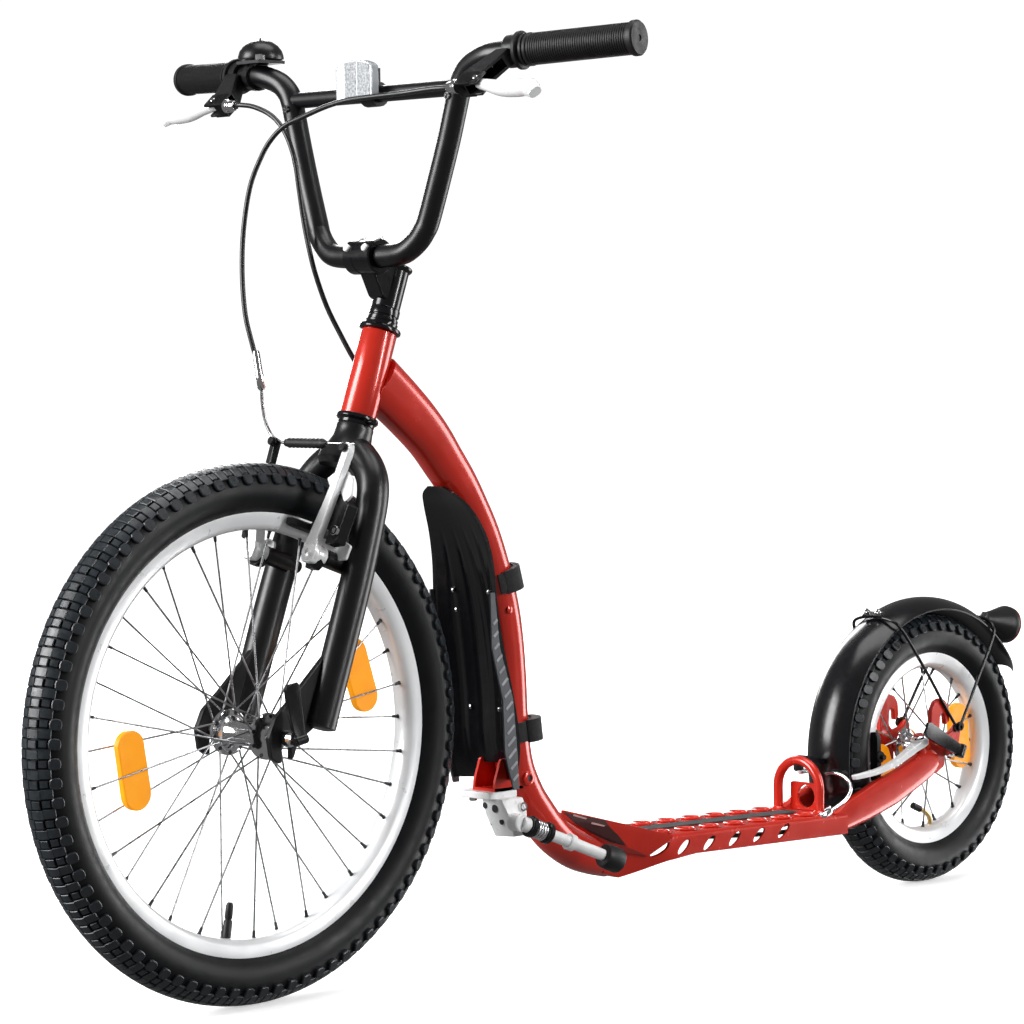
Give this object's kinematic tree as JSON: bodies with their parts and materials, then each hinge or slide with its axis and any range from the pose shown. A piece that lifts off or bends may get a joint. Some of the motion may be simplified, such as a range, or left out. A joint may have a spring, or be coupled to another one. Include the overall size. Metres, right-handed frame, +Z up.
{
  "type": "kick_bike",
  "caption": "Kick bike with a big front wheel and a small rear one, low perforated deck, rim brakes, quick release axles, kickstand, mudguard, tail light, bell and front reflector",
  "frame": {"origin": "On the floor, under the middle of the bike's length.", "axes": "Forward along -Y, the rider's left along +X, up along +Z."},
  "size_m": [0.6596, 1.4116, 0.925],
  "materials": {
    "red_paint": "gloss powder coat",
    "black_paint": "gloss black",
    "black_plastic": "satin moulded",
    "black_rubber": "matt moulded",
    "tyre_rubber": "matt with moulded tread",
    "aluminium": "satin anodised",
    "steel": "bright zinc",
    "clear_lens": "clear prismatic",
    "red_lens": "clear red",
    "grip_tape": "coarse grit"
  },
  "bodies": {
    "frame": {"head_tube": "red_paint", "headset_lower_cup": "black_paint", "headset_upper_cup": "black_paint", "main_tube": "red_paint", "deck_channel": "red_paint", "deck_grip_strip": "grip_tape", "left_stay": "red_paint", "right_stay": "red_paint", "heel_plate": "red_paint", "heel_hoop": "red_paint", "rear_mudguard": "black_plastic", "mudguard_bracket": "black_plastic", "mudguard_front_wire": "black_paint", "mudguard_rear_wire": "black_paint", "tail_light_body": "black_plastic", "tail_light_lens": "red_lens", "front_guard": "black_plastic", "upper_strap": "black_rubber", "lower_strap": "black_rubber", "kickstand_bracket": "red_paint", "kickstand_block": "aluminium", "rear_axle": "steel", "rear_brake_cable": "black_plastic"},
    "steering": {"headset_locknut": "black_paint", "fork": "black_paint", "stem": "black_paint", "handlebar": "black_paint", "left_grip": "black_rubber", "right_grip": "black_rubber", "left_brake_bracket": "black_plastic", "right_brake_bracket": "black_plastic", "bell_base": "black_plastic", "bell_dome": "black_paint", "front_reflector": "clear_lens", "front_reflector_bracket": "black_plastic", "front_axle": "steel", "front_brake_cable": "black_plastic"},
    "front_wheel": {"front_tyre": "tyre_rubber", "front_rim": "aluminium", "front_hub": "steel"},
    "rear_wheel": {"rear_tyre": "tyre_rubber", "rear_rim": "aluminium", "rear_hub": "steel"},
    "left_lever": {"left_brake_lever": "aluminium"},
    "right_lever": {"right_brake_lever": "aluminium"},
    "front_left_brake": {"front_left_brake_arm": "aluminium", "front_left_brake_pad": "black_rubber"},
    "front_right_brake": {"front_right_brake_arm": "aluminium", "front_right_brake_pad": "black_rubber"},
    "rear_left_brake": {"rear_left_brake_arm": "aluminium", "rear_left_brake_pad": "black_rubber"},
    "rear_right_brake": {"rear_right_brake_arm": "aluminium", "rear_right_brake_pad": "black_rubber"},
    "kickstand": {"kickstand_leg": "aluminium", "kickstand_foot": "black_rubber", "kickstand_spring": "steel"},
    "front_quick_release": {"front_quick_release_lever": "black_paint"},
    "rear_quick_release": {"rear_quick_release_lever": "black_paint"},
    "bell_striker": {"bell_striker": "steel"}
  },
  "joints": [
    {"name": "steering_turn", "type": "hinge", "parent": "frame", "child": "steering", "pos_m": [0, -0.2915, 0.5892], "axis": [0, 0.342, 0.9397], "range_deg": [-50, 50], "deforming": ["rear_brake_cable"]},
    {"name": "front_wheel_spin", "type": "hinge", "parent": "steering", "child": "front_wheel", "pos_m": [0, -0.45, 0.2553], "axis": [1, 0, 0], "continuous": true},
    {"name": "rear_wheel_spin", "type": "hinge", "parent": "frame", "child": "rear_wheel", "pos_m": [0, 0.5323, 0.1522], "axis": [1, 0, 0], "continuous": true},
    {"name": "left_lever_pull", "type": "hinge", "parent": "steering", "child": "left_lever", "pos_m": [0.19, -0.319, 0.857], "axis": [0, -0.6665, 0.7455], "range_deg": [0, 22], "stiffness_Nm_per_rad": 0.6, "springref_deg": -11.46},
    {"name": "right_lever_pull", "type": "hinge", "parent": "steering", "child": "right_lever", "pos_m": [-0.19, -0.319, 0.857], "axis": [0, 0.6665, -0.7455], "range_deg": [0, 22], "stiffness_Nm_per_rad": 0.6, "springref_deg": -11.46},
    {"name": "front_left_brake_close", "type": "hinge", "parent": "steering", "child": "front_left_brake", "pos_m": [0.043, -0.3983, 0.4227], "axis": [0, -0.9397, 0.342], "range_deg": [0, 3.6]},
    {"name": "front_right_brake_close", "type": "hinge", "parent": "steering", "child": "front_right_brake", "pos_m": [-0.043, -0.3983, 0.4227], "axis": [0, 0.9397, -0.342], "range_deg": [0, 3.6]},
    {"name": "rear_left_brake_close", "type": "hinge", "parent": "frame", "child": "rear_left_brake", "pos_m": [0.038, 0.485, 0.165], "axis": [0, 0.2415, -0.9704], "range_deg": [0, 1.7]},
    {"name": "rear_right_brake_close", "type": "hinge", "parent": "frame", "child": "rear_right_brake", "pos_m": [-0.038, 0.485, 0.165], "axis": [0, -0.2415, 0.9704], "range_deg": [0, 1.7]},
    {"name": "kickstand_fold", "type": "hinge", "parent": "frame", "child": "kickstand", "pos_m": [0.035, -0.141, 0.1423], "axis": [-1, 0, 0], "range_deg": [0, 80]},
    {"name": "front_quick_release_open", "type": "hinge", "parent": "steering", "child": "front_quick_release", "pos_m": [0.0756, -0.45, 0.2553], "axis": [0, 0.9848, 0.1736], "range_deg": [0, 150]},
    {"name": "rear_quick_release_open", "type": "hinge", "parent": "frame", "child": "rear_quick_release", "pos_m": [0.0596, 0.5323, 0.1522], "axis": [0, 0.454, 0.891], "range_deg": [0, 150]},
    {"name": "bell_striker_flick", "type": "hinge", "parent": "steering", "child": "bell_striker", "pos_m": [-0.151, -0.293, 0.9005], "axis": [0, 0, 1], "range_deg": [0, 20], "stiffness_Nm_per_rad": 0.02, "springref_deg": -11.46}
  ],
  "couplings": [
    {"joint": "front_left_brake_close", "follows": "left_lever_pull", "ratio": 0.159},
    {"joint": "front_right_brake_close", "follows": "left_lever_pull", "ratio": 0.159},
    {"joint": "rear_left_brake_close", "follows": "right_lever_pull", "ratio": 0.0727},
    {"joint": "rear_right_brake_close", "follows": "right_lever_pull", "ratio": 0.0727}
  ]
}
